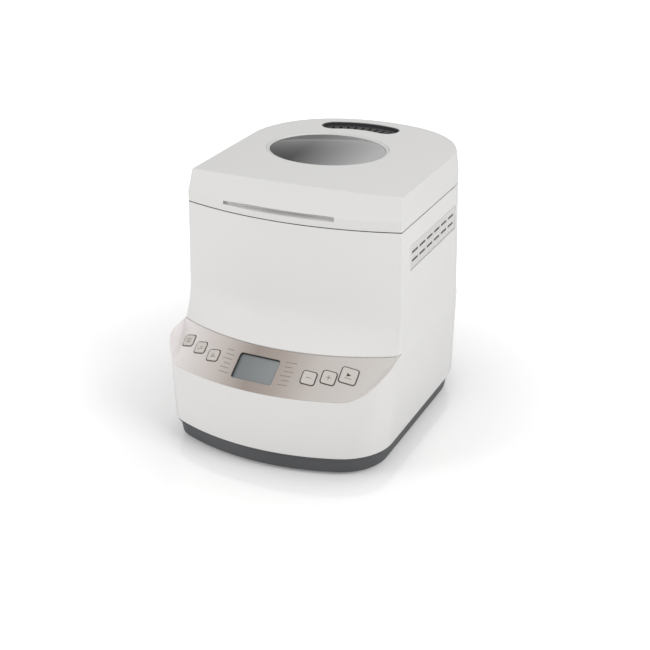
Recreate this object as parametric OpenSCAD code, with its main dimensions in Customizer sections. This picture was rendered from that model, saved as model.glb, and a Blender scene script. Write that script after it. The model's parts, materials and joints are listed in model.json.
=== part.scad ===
// Domestic bread machine: a white moulded body with a control ledge, a hinged lid with a window,
// a removable baking pan, and a belt-driven kneading paddle. All sizes in millimetres.
// X runs across the front, -Y is the front, and Z = 0 is the table under the feet.

/* [Overall] */
// Width of the body at the lid seam
body_w = 260; // [250:1:320]
// Depth from the front of the ledge to the back of the body
body_d = 368; // [355:1:450]
// Height from the table to the top of the lid
body_h = 307; // [295:1:370]

/* [Housing] */
// Thickness of the moulded walls
wall = 2.5; // [2:0.1:3.5]
// Height of the rubber feet
foot_h = 4; // [3:0.5:8]
// Height of the dark base tray
tray_h = 20; // [16:1:26]
// Height of the lid
lid_h = 37; // [31:1:45]
// Sideways flare of the lower body, each side
flare = 4; // [0:0.5:6]
// Sideways draft of the upper walls, each side
draft = 2.4; // [0:0.2:3]
// Sagitta of the upper front face
front_bow = 21.5; // [16:0.5:30]
// Sagitta of the lower front face
ledge_bow = 34; // [26:1:42]
// Left front corner radius of the lower body
corner_left = 32; // [26:1:40]
// Right front corner radius of the lower body
corner_right = 62; // [50:1:74]
// Corner radius at the back
back_corner = 105; // [96:1:112]
// Sagitta of the back face
back_bow = 60; // [50:1:66]

/* [Control ledge] */
// Height of the front edge of the control panel
ledge_low = 96; // [90:1:104]
// Height of the back edge of the control panel
ledge_high = 130; // [124:1:140]
// How far the ledge stands out in front of the upper body
ledge_reach = 71.5; // [64:0.5:84]
// Thickness of the control panel, measured front to back
panel_t = 2.4; // [1.8:0.1:3]
// Small button width
button_w = 13.5; // [11:0.5:15]
// Start button width
start_w = 18; // [15:0.5:20]
// Button travel
button_travel = 0.9; // [0.5:0.1:1]
// Display width
lcd_w = 50; // [40:1:60]
// Display height
lcd_h = 32; // [24:1:36]

/* [Lid] */
// Window half width
window_rx = 74; // [60:1:76]
// Window half depth
window_ry = 64; // [54:1:66]
// Radial width of the steam vent
vent_w = 31; // [20:1:34]
// Width of the finger handle
handle_w = 136; // [110:1:150]
// Diameter of the hinge pins
pin_d = 5; // [4:0.5:6]

/* [Baking chamber] */
// Sideways place of the pan axis
pan_x = -18; // [-20:1:-12]
// Pan width
pan_w = 136; // [120:1:140]
// Pan length
pan_l = 166; // [150:1:170]
// Pan depth
pan_h = 144; // [120:1:150]
// Space between pan and chamber, each side
pan_gap = 19; // [17:1:20]
// Heating element tube diameter
element_d = 7; // [5:0.5:8]

/* [Drive] */
// Spindle diameter
spindle_d = 8; // [6:0.5:10]
// Groove radius of the driven pulley
driven_r = 44; // [36:1:50]
// Groove radius of the motor pulley
driver_r = 11; // [9:1:14]
// Motor diameter
motor_d = 72; // [60:1:76]

/* [Clearances] */
// Gap at the lid seam
seam_gap = 0.6; // [0.4:0.1:1]
// Gap between fitted fixed pieces
fit = 0.2; // [0.15:0.05:0.3]
// Gap round moving pieces
play = 0.3; // [0.25:0.05:0.4]
// Radial running clearance of shafts
run = 0.05; // [0.02:0.01:0.1]

/* [Hidden] */
$fn = 64;
tiny = 0.01;

// Heights
tray_z = foot_h;
body_z = foot_h + tray_h;
seam_z = body_h - lid_h;
deck_t = 2;
deck_z = seam_z - 6;
panel_drop = ledge_high - ledge_low;
curl = 48;              // height of the concave sweep above the panel
rise = panel_drop - 3;  // how far the panel edge climbs towards the sides
lip = 0.8;              // height of the little step round the panel

// Plan: the origin is the middle of the plan
front_y = -body_d / 2;
back_y = body_d / 2;
face_y = front_y + ledge_reach;
panel_back_y = face_y - 27;
corner_n = 8;
back_n = 10;
front_n = 16;
seam_corner = 2;

// A level of the body: height, half width, front apex, front sagitta, left and right corner
// radius, back apex, back sagitta, back corner radius, and climb of the level at the sides.
function level(z, hw, fy, bow, cl, cr, by = back_y, up = 0) =
    [z, hw, fy, bow, cl, cr, by, back_bow, back_corner, up];

function arc_r(half, bow) = (half * half + bow * bow) / (2 * bow);
function arc_gap(half, bow, c) = sqrt(pow(arc_r(half, bow) - c, 2) - pow(half - c, 2));
function arc_turn(half, bow, c) = atan2(arc_gap(half, bow, c), half - c);

// Outline points of a level, counter-clockwise from the right side, each with the share of the
// climb that it takes: 1 along the sides and back, falling to 0 round the front corners.
function outline(l) =
    let (hw = l[1], fy = l[2], bow = l[3], cl = l[4], cr = l[5], by = l[6], bb = l[7], bc = l[8],
         rb = arc_r(hw, bb), cb = by - rb, tb = arc_turn(hw, bb, bc), yb = cb + arc_gap(hw, bb, bc),
         rf = arc_r(hw, bow), cf = fy + rf, tl = arc_turn(hw, bow, cl), tr = arc_turn(hw, bow, cr),
         yl = cf - arc_gap(hw, bow, cl), yr = cf - arc_gap(hw, bow, cr))
    concat(
        [for (i = [0:corner_n]) let (a = tb * i / corner_n)
            [hw - bc + bc * cos(a), yb + bc * sin(a), 1]],
        [for (i = [1:back_n - 1]) let (a = tb + (180 - 2 * tb) * i / back_n)
            [rb * cos(a), cb + rb * sin(a), 1]],
        [for (i = [0:corner_n]) let (a = 180 - tb + tb * i / corner_n)
            [bc - hw + bc * cos(a), yb + bc * sin(a), 1]],
        [for (i = [0:corner_n]) let (a = 180 + tl * i / corner_n)
            [cl - hw + cl * cos(a), yl + cl * sin(a), 1 - i / corner_n]],
        [for (i = [1:front_n - 1]) let (a = 180 + tl + (180 - tl - tr) * i / front_n)
            [rf * cos(a), cf + rf * sin(a), 0]],
        [for (i = [0:corner_n]) let (a = 360 - tr + tr * i / corner_n)
            [hw - cr + cr * cos(a), yr + cr * sin(a), i / corner_n]]
    );
function smooth(s) = s * s * (3 - 2 * s);
function loop(l) = [for (p = outline(l)) [p.x, p.y, l[0] + l[9] * smooth(p.z)]];
function flat(l) = [for (p = outline(l)) [p.x, p.y]];
function shift_in(l, t, z = undef, ft = undef) =
    [is_undef(z) ? l[0] : z, l[1] - t, l[2] + (is_undef(ft) ? t : ft), l[3],
     max(l[4] - t, 1.5), max(l[5] - t, 1.5), l[6] - t, l[7], l[8] - t, l[9]];

// First and last outline points of the front, and the first point of the left front corner
left_start = 2 * corner_n + back_n + 1;
front_last = left_start + 2 * corner_n + front_n;

// Skin through a list of loops with the same number of points. A ring closes on itself; otherwise
// the first and last loops are capped.
module loft(loops, ring = false) {
    n = len(loops[0]);
    m = len(loops);
    points = [for (l = loops) each l];
    sides = [for (k = [0:(ring ? m - 1 : m - 2)], i = [0:n - 1])
        let (a = k * n + i, b = k * n + (i + 1) % n, up = (k + 1) % m,
             c = up * n + (i + 1) % n, d = up * n + i)
        each [[a, d, c], [a, c, b]]];
    caps = ring ? [] : [[for (i = [0:n - 1]) i], [for (i = [n - 1:-1:0]) (m - 1) * n + i]];
    polyhedron(points = points, faces = concat(sides, caps), convexity = 10);
}

// Body levels, from the tray up to the lid
low_hw = body_w / 2 + 1;
ledge_hw = body_w / 2 + flare;
top_hw = body_w / 2;
base_level = level(body_z + 2.5, low_hw, front_y + 1, ledge_bow, corner_left + 2, corner_right);
edge_level = level(ledge_low, ledge_hw, front_y, ledge_bow, corner_left, corner_right, up = rise);

// The inner surface climbs half as much, so it stays behind the panel recess at both corners
inner_edge_level =
    level(ledge_low, ledge_hw, front_y, ledge_bow, corner_left, corner_right, up = rise / 2);
shelf_level = level(ledge_high, ledge_hw - 0.4, panel_back_y, front_bow + 15, 10, 16);
seam_level = level(seam_z, top_hw, face_y, front_bow, seam_corner, seam_corner);

function mix(a, b, s) = a + (b - a) * s;
// The concave sweep: s = 0 at the panel, s = 1 where the face stands upright
function sweep(s) = let (k = pow(1 - s, 2.2))
    level(ledge_high + lip + curl * s, mix(top_hw + draft, ledge_hw - 0.4, k),
        mix(face_y, panel_back_y, k), mix(front_bow, front_bow + 15, k), mix(5, 10, k), mix(5, 16, k));
sweep_steps = [0, 0.08, 0.18, 0.3, 0.45, 0.65, 1];

panel_seat_in = panel_t + 2 * fit;
under = wall + 1.5;
function raise(l, dz) = [l[0] + dz, l[1], l[2], l[3], l[4], l[5], l[6], l[7], l[8], l[9]];
function front_in(l, t) = [l[0], l[1], l[2] + t, l[3], l[4], l[5], l[6], l[7], l[8], l[9]];

module housing_skin() {
    loft(concat(
        [loop(shift_in(base_level, 1.5, body_z)), loop(base_level)],
        [loop(raise(edge_level, -lip)), loop(front_in(edge_level, panel_seat_in))],
        [loop(front_in(shelf_level, panel_seat_in))],
        [for (s = sweep_steps) loop(sweep(s))],
        [loop(seam_level), loop(shift_in(seam_level, wall))],
        [for (s = [1, 0.65, 0.45, 0.3, 0.18, 0]) loop(shift_in(sweep(s), wall))],
        [loop(shift_in(front_in(shelf_level, under), wall))],
        [loop(shift_in(front_in(inner_edge_level, under), wall))],
        [loop(shift_in(base_level, wall + 1.5, body_z))]
    ), ring = true);
}

// The control panel surface: u counts outline points, t runs from the front edge to the back
edge_loop = loop(edge_level);
shelf_loop = loop(shelf_level);
function at(l, u) = let (i = floor(u)) l[i] + (l[min(i + 1, len(l) - 1)] - l[i]) * (u - i);
function panel_point(u, t) = mix(at(edge_loop, u), at(shelf_loop, u), t);
front_u = [for (i = [left_start + 1:front_last - 1]) i];
function u_of_x(x, t) = lookup(x, [for (i = front_u) [panel_point(i, t).x, i]]);
function unit(v) = v / norm(v);
function panel_normal(u, t) =
    unit(cross(panel_point(u + 1, t) - panel_point(u - 1, t), at(shelf_loop, u) - at(edge_loop, u)));

// Places children on the panel at x and t: local +Z leaves the panel, local X runs down the slope
module on_panel(x, t) {
    u = u_of_x(x, t);
    n = panel_normal(u, t);
    translate(panel_point(u, t)) rotate([0, acos(n.z), atan2(n.y, n.x)]) children();
}

// The keys and the display stand square to the machine, seen from above
module on_panel_square(x, t) {
    n = panel_normal(u_of_x(x, t), t);
    h = norm([n.x, n.y]);
    on_panel(x, t) rotate([0, 0, atan2(-n.z * n.x / h, -n.y / h)]) children();
}

// Rounded rectangle, w along X and d along Y
module rrect(w, d, r) {
    square([w - 2 * r, d], center = true);
    square([w, d - 2 * r], center = true);
    for (x = [-1, 1], y = [-1, 1]) translate([x * (w / 2 - r), y * (d / 2 - r)]) circle(r);
}

// Buttons: sideways place and place up the slope of the panel
lcd_x = -13;
lcd_t = 0.5;
buttons = [
    [-112, 0.60, button_w], [-92, 0.57, button_w], [-71, 0.52, button_w],
    [50, 0.48, button_w + 1.5], [71, 0.52, button_w + 1.5], [91, 0.58, start_w]
];
button_r = 2.5;
cap_up = 1.1;
cap_down = 0.5;
plunger_r = 3;
plunger_end = 9.7;
switch_top = plunger_end + button_travel + play;
board_depth = 14;
board_t = 1.6;

lcd_recess = 1.8;
lens_t = 1.5;
module lcd_opening(grow = 0) {
    on_panel(lcd_x, lcd_t) translate([0, 0, -14]) linear_extrude(20)
        rrect(lcd_h + 2 * grow, lcd_w + 2 * grow, 3);
}
module button_holes(grow, depth) {
    for (b = buttons) on_panel_square(b[0], b[1]) translate([0, 0, -depth])
        linear_extrude(depth + 4) rrect(b[2] + 2 * grow, b[2] + 2 * grow, button_r + grow);
}
module plunger_holes() {
    for (b = buttons) on_panel(b[0], b[1]) translate([0, 0, -12])
        cylinder(r = plunger_r + play, h = 14, $fn = 32);
}

// Side grille in the right wall
grille_y0 = face_y + 47;
grille_l = 149;
grille_h = 28;
grille_z = seam_z - 38;
grille_sunk = 0.8;
grille_face = top_hw + draft * (seam_z - grille_z) / (seam_z - ledge_high - lip - curl) - grille_sunk;
grille_rows = 2;
grille_cols = 6;

// Hinge at the back of the lid, let into the top of the body
hinge_y = back_y - 12;
hinge_z = seam_z - 8;
hinge_x = 37;
back_arc = arc_r(top_hw, back_bow);
notch_hw = sqrt(pow(back_arc, 2) - pow(hinge_y - (back_y - back_arc), 2)) + 5;
notch_z = seam_z - 24;
notch_y = hinge_y - 10;
ear_t = 3;
barrel_w = 17;
barrel_r = pin_d / 2 + 3;

module notch_block(grow = 0) {
    translate([-notch_hw - grow, notch_y - grow, notch_z])
        cube([2 * (notch_hw + grow), back_y, seam_z]);
}

module housing() color("white") difference() {
    housing_skin();
    notch_block();
    translate([top_hw - 3 * wall, grille_y0, grille_z - grille_h / 2])
        cube([6 * wall, grille_l, grille_h]);
    lcd_opening(fit);
    plunger_holes();
    button_holes(play, cap_down + button_travel + play);
}

module side_vent_grille() color("gainsboro") {
    pitch = (grille_l - 8) / grille_cols;
    slot_l = pitch - 5;
    translate([grille_face - wall, grille_y0 + fit, grille_z - grille_h / 2 + fit])
        difference() {
        cube([wall, grille_l - 2 * fit, grille_h - 2 * fit]);
        for (i = [0:grille_cols - 1], j = [-1, 1])
            translate([-wall, 6 + i * pitch, grille_h / 2 - fit + j * 5 - 1.5])
                cube([3 * wall, slot_l, 3]);
    }
}

module control_panel() color("#c2b8b0") difference() {
    n0 = left_start + 2;
    n1 = front_last - 2;
    outer_low = loop(edge_level);
    outer_high = loop(shelf_level);
    inner_low = loop(front_in(edge_level, panel_t));
    inner_high = loop(front_in(shelf_level, panel_t));
    // Cross-sections along the front, as loops of four points
    sections = [for (i = [n0:n1]) [outer_low[i], outer_high[i], inner_high[i], inner_low[i]]];
    k = len(sections);
    polyhedron(points = [for (s = sections) each s], faces = concat(
        [for (s = [0:k - 2], j = [0:3])
            let (a = 4 * s + j, b = 4 * s + (j + 1) % 4)
            each (j == 2 ? [[a, b, a + 4], [b, b + 4, a + 4]] : [[a, b, b + 4], [a, b + 4, a + 4]])],
        [[2, 1, 0], [3, 2, 0], [4 * k - 4, 4 * k - 3, 4 * k - 2], [4 * k - 4, 4 * k - 2, 4 * k - 1]]
    ), convexity = 10);
    lcd_opening(fit);
    button_holes(play, 6);
}

module lcd_lens() color("#7f8488") on_panel(lcd_x, lcd_t)
    translate([0, 0, -lcd_recess - lens_t]) linear_extrude(lens_t) rrect(lcd_h, lcd_w, 3);

lcd_board = 9;
module lcd_module() color("#5c6f5c") {
    on_panel(lcd_x, lcd_t) {
        translate([0, 0, -lcd_board]) linear_extrude(lcd_board - lcd_recess - lens_t)
            rrect(lcd_h - 1, lcd_w - 1, 3);
        translate([0, 0, -lcd_board - board_t]) linear_extrude(board_t) rrect(lcd_h + 8, lcd_w + 8, 2);
        for (x = [-1, 1], y = [-1, 1])
            translate([x * (lcd_h / 2 + 2), y * (lcd_w / 2 + 2), -lcd_board - tiny])
            cylinder(r = 1.5, h = lcd_board - 5.4, $fn = 24);
    }
}

module keypad_board(first) color("#3f6b46") {
    mid = buttons[first + 1];
    on_panel(mid[0], mid[1]) translate([0, 0, -board_depth - board_t]) linear_extrude(board_t)
        rrect(26, 60, 2);
    for (k = [0:2]) let (b = buttons[first + k])
        on_panel(b[0], b[1]) translate([0, 0, -board_depth - 0.8])
            cylinder(r = 3.4, h = board_depth + 0.8 - switch_top, $fn = 32);
    for (k = [0:1]) let (x = (buttons[first + k][0] + buttons[first + k + 1][0]) / 2)
        on_panel(x, 0.55) translate([0, 0, -board_depth - 0.8])
            cylinder(r = 1.8, h = board_depth + 0.8 - 4.6, $fn = 24);
}
module keypad_board_left() keypad_board(0);
module keypad_board_right() keypad_board(3);

module button(k) color("#dcd8d4") {
    b = buttons[k];
    on_panel_square(b[0], b[1]) {
        translate([0, 0, -cap_down]) linear_extrude(cap_up + cap_down) rrect(b[2], b[2], button_r);
        translate([0, 0, -plunger_end]) cylinder(r = plunger_r, h = plunger_end, $fn = 32);
    }
}
module button_menu() button(0);
module button_size() button(1);
module button_crust() button(2);
module button_minus() button(3);
module button_plus() button(4);
module button_start() button(5);

// Base tray: shallow dish whose lip stands inside the housing
tray_hw = low_hw - 4;
tray_top = level(body_z - 2, tray_hw, front_y + 4.5, ledge_bow - 2,
    corner_left + 2, corner_right - 2, back_y - 3.5);
post_r = 6;
chassis_z = 52;
chassis_t = 2;
pan_y = back_y - 137;
motor_x = 72;
motor_y = face_y + 8;
posts = [[-80, motor_y - 15], [92, motor_y - 24], [-80, pan_y + 48], [86, pan_y + 48]];
screw_r = 1.5;
head_r = 4;
head_t = 2.5;

gland_r = 7;
gland_z = tray_z + 9;

module base_tray() color("#6a6b6c") difference() {
    union() {
        loft([
            loop(shift_in(tray_top, 4, tray_z)), loop(shift_in(tray_top, 2.5, tray_z + 1.2)),
            loop(tray_top), loop(shift_in(tray_top, -2.3, body_z - 1.5)),
            loop(shift_in(tray_top, -2.3, body_z)),
            loop(shift_in(base_level, wall + 1.5 + play, body_z)),
            loop(shift_in(base_level, wall + 1.5 + play, body_z + 5)),
            loop(shift_in(base_level, 2 * wall + 1.5, body_z + 5)),
            loop(shift_in(tray_top, 5.5, tray_z + wall))
        ]);
        for (p = posts) translate([p.x, p.y, tray_z + wall - tiny])
            cylinder(r = post_r, h = chassis_z - tray_z - wall + tiny);
    }
    for (p = posts) translate([p.x, p.y, tray_z - 1]) {
        cylinder(r = head_r + fit, h = head_t + 1 + fit);
        cylinder(r = screw_r, h = 18);
    }
    translate([0, back_y - 16, gland_z]) rotate([-90, 0, 0]) cylinder(r = gland_r + run, h = 20);
    for (i = [-3:3]) translate([pan_x + i * 12 - 2.5, pan_y - 25, tray_z - 1]) cube([5, 50, wall + 2]);
}

module foot(x, y) color("#3a3a3a") translate([x, y, 0]) {
    cylinder(r1 = 6, r2 = 7, h = foot_h, $fn = 32);
}
foot_x = 84;
foot_front = front_y + 36;
foot_back = back_y - 62;
module foot_front_left() foot(-foot_x, foot_front);
module foot_front_right() foot(foot_x, foot_front);
module foot_back_left() foot(-foot_x + 4, foot_back);
module foot_back_right() foot(foot_x - 4, foot_back);

module base_screw(k) color("silver") translate([posts[k].x, posts[k].y, tray_z]) {
    difference() {
        cylinder(r = head_r, h = head_t);
        for (a = [0, 90]) rotate(a) translate([-2.5, -0.5, -1]) cube([5, 1, 2.2]);
    }
    cylinder(r = screw_r, h = 15);
}
module base_screw_1() base_screw(0);
module base_screw_2() base_screw(1);
module base_screw_3() base_screw(2);
module base_screw_4() base_screw(3);

module cord_gland() color("#2c2c2c") translate([0, back_y, gland_z]) rotate([-90, 0, 0]) difference() {
    union() {
        translate([0, 0, -14]) cylinder(r = gland_r, h = 11);
        translate([0, 0, -3.4]) cylinder(r = gland_r + 1.5, h = 3.2);
    }
    translate([0, 0, -20]) cylinder(r = 3.5, h = 30);
}

// Baking chamber
chamber_w = pan_w + 2 * pan_gap;
chamber_l = pan_l + 2 * pan_gap;
chamber_r = 40;
sheet = 1.2;
chamber_z = 72;
seat_z = chamber_z + sheet;
module at_pan(z = 0) translate([pan_x, pan_y, z]) children();

module top_deck() color("#d8d8d6") difference() {
    union() {
        translate([0, 0, deck_z]) linear_extrude(deck_t) difference() {
            polygon(flat(shift_in(seam_level, wall + fit)));
            translate([pan_x, pan_y])
                rrect(chamber_w - 2 * sheet, chamber_l - 2 * sheet, chamber_r - sheet);
            translate([-notch_hw - 2, notch_y - 2]) square([2 * notch_hw + 4, 60]);
        }
        translate([-notch_hw - 2, notch_y - 2 - tiny, notch_z - 2.5])
            cube([2 * notch_hw + 4, 2, deck_z + deck_t - notch_z + 2.5]);
        translate([0, 0, notch_z - 2.5]) linear_extrude(2.5) intersection() {
            polygon(flat(shift_in(seam_level, wall + 3 * fit)));
            translate([-notch_hw - 2, notch_y - 2]) square([2 * notch_hw + 4, 60]);
        }
        translate([0, 0, notch_z - 2.5]) linear_extrude(deck_z + deck_t - notch_z + 2.5)
            intersection() {
            polygon(flat(shift_in(seam_level, wall + 3 * fit)));
            for (s = [-1, 1]) translate([s * (notch_hw + 1) - 1, notch_y - 2]) square([2, 14]);
        }
    }
}

module oven_liner() color("#b9bcc0") at_pan() difference() {
    union() {
        translate([0, 0, chamber_z]) linear_extrude(deck_z - chamber_z)
            rrect(chamber_w, chamber_l, chamber_r);
        translate([0, 0, deck_z - sheet]) linear_extrude(sheet)
            rrect(chamber_w + 6, chamber_l + 6, chamber_r + 3);
    }
    translate([0, 0, seat_z]) linear_extrude(deck_z)
        rrect(chamber_w - 2 * sheet, chamber_l - 2 * sheet, chamber_r - sheet);
    translate([0, 0, chamber_z - 1]) cylinder(r = 13, h = 10);
    for (s = [-1, 1]) translate([s * element_gap, -chamber_l / 2 - 10, element_z]) rotate([-90, 0, 0])
        cylinder(r = element_d / 2 + fit, h = 30, $fn = 32);
    translate([40, -chamber_l / 2 - 10, sensor_z]) rotate([-90, 0, 0])
        cylinder(r = 3, h = 20, $fn = 32);
}

// Heating element: tube loop round the pan with two ends through the front wall
element_z = 104;
element_gap = 14;
element_w = pan_w + pan_gap - sheet;
element_l = pan_l + pan_gap - sheet;
element_r = 30;
module tube_x(x0, x1, y) translate([x0, y, element_z]) rotate([0, 90, 0])
    cylinder(d = element_d, h = x1 - x0, $fn = 32);
module tube_y(y0, y1, x) translate([x, y0, element_z]) rotate([-90, 0, 0])
    cylinder(d = element_d, h = y1 - y0, $fn = 32);
module heating_element() color("#55504c") at_pan() {
    ex = element_w / 2;
    ey = element_l / 2;
    for (s = [-1, 1]) {
        tube_y(-ey + element_r, ey - element_r, s * ex);
        translate([s * element_gap, -ey, element_z]) sphere(d = element_d, $fn = 32);
        tube_y(-chamber_l / 2 - 9, -ey, s * element_gap);
    }
    tube_x(-ex + element_r, ex - element_r, ey);
    tube_x(-ex + element_r, -element_gap, -ey);
    tube_x(element_gap, ex - element_r, -ey);
    for (sx = [0, 1], sy = [0, 1]) mirror([sx, 0, 0]) mirror([0, sy, 0])
        translate([ex - element_r, ey - element_r, element_z]) rotate_extrude(angle = 90)
            translate([element_r, 0]) circle(d = element_d, $fn = 32);
}

module element_bracket(s) color("silver") at_pan() difference() {
    x0 = element_w / 2 - 2;
    x1 = chamber_w / 2 - sheet;
    translate([s > 0 ? x0 : -x1, -5, element_z - 5]) cube([x1 - x0, 10, 10]);
    translate([s * element_w / 2, -10, element_z]) rotate([-90, 0, 0])
        cylinder(d = element_d + 2 * run, h = 20, $fn = 32);
}
module element_bracket_left() element_bracket(-1);
module element_bracket_right() element_bracket(1);

sensor_z = 150;
module temperature_sensor() color("silver") at_pan() translate([40, -chamber_l / 2 - 6, sensor_z])
    rotate([-90, 0, 0]) {
    cylinder(r = 5, h = 6, $fn = 32);
    cylinder(r = 3, h = 16, $fn = 32);
}

seat_r = 36;
skirt_r = 30;
module pan_seat() color("silver") at_pan(seat_z) difference() {
    cylinder(r = seat_r, h = 15);
    translate([0, 0, 1.8]) cylinder(r = skirt_r + play, h = 20);
    translate([0, 0, -1]) cylinder(r = 13, h = 10);
}

// Pan, seated in the ring with its skirt
pan_z = 92;
pan_wall = 1.5;
pan_r = 30;
skirt_z = seat_z + 1.8 + play;
ear_z = pan_z + pan_h + 4;
module bread_pan() color("#4a4a4c") at_pan() difference() {
    union() {
        translate([0, 0, pan_z]) linear_extrude(pan_h) rrect(pan_w, pan_l, pan_r);
        translate([0, 0, pan_z + pan_h - 2.5]) linear_extrude(2.5)
            rrect(pan_w + 7, pan_l + 7, pan_r + 3.5);
        translate([0, 0, skirt_z]) cylinder(r = skirt_r, h = pan_z - skirt_z + tiny);
        for (s = [-1, 1]) translate([s * (pan_w / 2 + 1) - 1.5, -8, pan_z + pan_h - 2])
            cube([3, 16, 10]);
    }
    translate([0, 0, pan_z + pan_wall]) linear_extrude(pan_h)
        rrect(pan_w - 2 * pan_wall, pan_l - 2 * pan_wall, pan_r - pan_wall);
    translate([0, 0, skirt_z - 1]) cylinder(r = skirt_r - 2.5, h = pan_z - skirt_z + 1);
    translate([0, 0, skirt_z]) cylinder(r = bearing_r, h = 30);
    for (s = [-1, 1]) translate([s * pan_w / 2 - 8, 0, ear_z]) rotate([0, 90, 0])
        cylinder(r = bail_r + run, h = 16, $fn = 32);
}

bearing_r = 8;
module pan_bearing() color("#8c8f92") at_pan() difference() {
    union() {
        translate([0, 0, pan_z - 1.5]) cylinder(r = bearing_r, h = 6);
        translate([0, 0, pan_z + pan_wall]) cylinder(r = bearing_r + 3, h = 3);
    }
    cylinder(d = spindle_d + 2 * run, h = 200);
}

// Bail handle, folded back onto the rim
bail_r = 2;
bail_x = pan_w / 2 + 6;
bail_l = pan_l / 2 - 6;
bail_bend = 22;
module pan_handle() color("silver") at_pan(ear_z) {
    for (s = [-1, 1]) {
        translate([s > 0 ? pan_w / 2 - 3.5 : -bail_x, 0, 0]) rotate([0, 90, 0])
            cylinder(r = bail_r, h = bail_x - pan_w / 2 + 3.5, $fn = 32);
        translate([s * bail_x, 0, 0]) sphere(r = bail_r, $fn = 32);
        translate([s * bail_x, 0, 0]) rotate([-90, 0, 0])
            cylinder(r = bail_r, h = bail_l - bail_bend, $fn = 32);
    }
    translate([bail_bend - bail_x, bail_l, 0]) rotate([0, 90, 0])
        cylinder(r = bail_r, h = 2 * (bail_x - bail_bend), $fn = 32);
    for (sx = [0, 1]) mirror([sx, 0, 0]) translate([bail_x - bail_bend, bail_l - bail_bend, 0])
        rotate_extrude(angle = 90) translate([bail_bend, 0]) circle(r = bail_r, $fn = 32);
}

// Drive couplings: two dogs below, two dogs above, a quarter turn apart
dog_r = 11;
dog_h = 6;
coupler_z = skirt_z + 0.5;
upper_z = coupler_z + 4 + dog_h + 0.4;
module dogs(h) intersection() {
    cylinder(r = dog_r - 0.5, h = h);
    difference() {
        translate([-dog_r, -4, 0]) cube([2 * dog_r, 8, h]);
        translate([-5, -5, -1]) cube([10, 10, h + 2]);
    }
}

module paddle_shaft() color("silver") at_pan() {
    translate([0, 0, upper_z]) cylinder(d = spindle_d, h = 30);
    translate([0, 0, upper_z]) cylinder(r = dog_r, h = 3.2);
    translate([0, 0, upper_z - dog_h]) rotate(90) dogs(dog_h + tiny);
}

hub_z = pan_z + pan_wall + 3.4;
module kneading_paddle() color("#57575a") at_pan(hub_z) {
    difference() {
        union() {
            cylinder(r = 8, h = 26);
            translate([0, -1.6, 0.4]) cube([38, 3.2, 22]);
            translate([38, 0, 0.4]) cylinder(r = 1.6, h = 22, $fn = 24);
            rotate(35) translate([-14, -3, 0]) cube([14, 6, 12]);
        }
        translate([0, 0, -1]) cylinder(d = spindle_d, h = 23);
    }
}

module spindle() color("silver") at_pan() {
    translate([0, 0, pulley_z - 3]) cylinder(d = spindle_d, h = coupler_z - pulley_z + 3 + tiny);
    translate([0, 0, coupler_z]) cylinder(r = dog_r, h = 4);
    translate([0, 0, coupler_z + 4 - tiny]) dogs(dog_h);
}

pulley_z = 33;
pulley_h = 11;
flange = 3;
module pulley(r) rotate_extrude() difference() {
    translate([spindle_d / 2, 0]) square([r + flange - spindle_d / 2, pulley_h]);
    translate([r, 2]) square([flange + 1, pulley_h - 4]);
}
module driven_pulley() color("#d9d9d6") at_pan(pulley_z) difference() {
    pulley(driven_r);
    for (a = [0:60:300]) rotate(a) translate([driven_r * 0.6, 0, -1])
        cylinder(r = driven_r * 0.18, h = pulley_h + 2, $fn = 32);
}
module at_motor(z = 0) translate([motor_x, motor_y, z]) children();
module motor_pulley() color("#d9d9d6") at_motor(pulley_z) pulley(driver_r);

belt_t = 2;
module belt_line(grow) hull() {
    translate([pan_x, pan_y]) circle(driven_r + grow, $fn = 96);
    translate([motor_x, motor_y]) circle(driver_r + grow, $fn = 48);
}
module drive_belt() color("#2b2b2b") translate([0, 0, pulley_z + 2.5]) linear_extrude(pulley_h - 5)
    difference() {
    belt_line(play + belt_t);
    belt_line(play);
}

module spindle_bearing() color("#8c8f92") at_pan(chassis_z + chassis_t) difference() {
    union() {
        cylinder(r = 14.5, h = chamber_z - chassis_z - chassis_t);
        cylinder(r = 22, h = 3);
    }
    translate([0, 0, -1]) cylinder(d = spindle_d + 2 * run, h = 40);
}

chassis_front = motor_y - 36;
chassis_back = pan_y + 64;
module chassis_plate() color("#a9adb1") translate([0, 0, chassis_z]) linear_extrude(chassis_t)
    difference() {
    translate([4, (chassis_front + chassis_back) / 2]) rrect(204, chassis_back - chassis_front, 26);
    translate([pan_x, pan_y]) circle(6);
    translate([motor_x, motor_y]) circle(8);
    for (k = [-1, 1]) translate([-62, pan_y - 70 + k * 34]) rrect(40, 48, 8);
}

mount_h = 4;
motor_z = chassis_z + chassis_t + mount_h;
motor_h = 34;
module motor_mounts() color("#303030") for (a = [30:120:270])
    at_motor(chassis_z + chassis_t) rotate(a) translate([motor_d / 2 - 8, 0, 0])
        cylinder(r = 5, h = mount_h, $fn = 32);
module motor_body() color("#9a9da0") at_motor(motor_z) difference() {
    union() {
        cylinder(d = motor_d, h = motor_h - 8);
        cylinder(d = motor_d - 14, h = motor_h);
    }
    translate([0, 0, -1]) cylinder(d = spindle_d + 2 * run, h = motor_h + 2);
}
module motor_shaft() color("silver") at_motor(pulley_z - 2)
    cylinder(d = spindle_d, h = motor_z + motor_h + 9 - pulley_z);

fan_r = 27;
module cooling_fan() color("#c9c9c6") at_motor(motor_z + motor_h + 1) difference() {
    union() {
        cylinder(r = 9, h = 5);
        for (a = [0:45:315]) rotate(a) translate([7, 0, 0]) rotate([35, 0, 0])
            translate([0, -0.6, 0]) cube([fan_r - 7, 1.4, 6]);
    }
    translate([0, 0, -1]) cylinder(d = spindle_d, h = 12);
}

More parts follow.
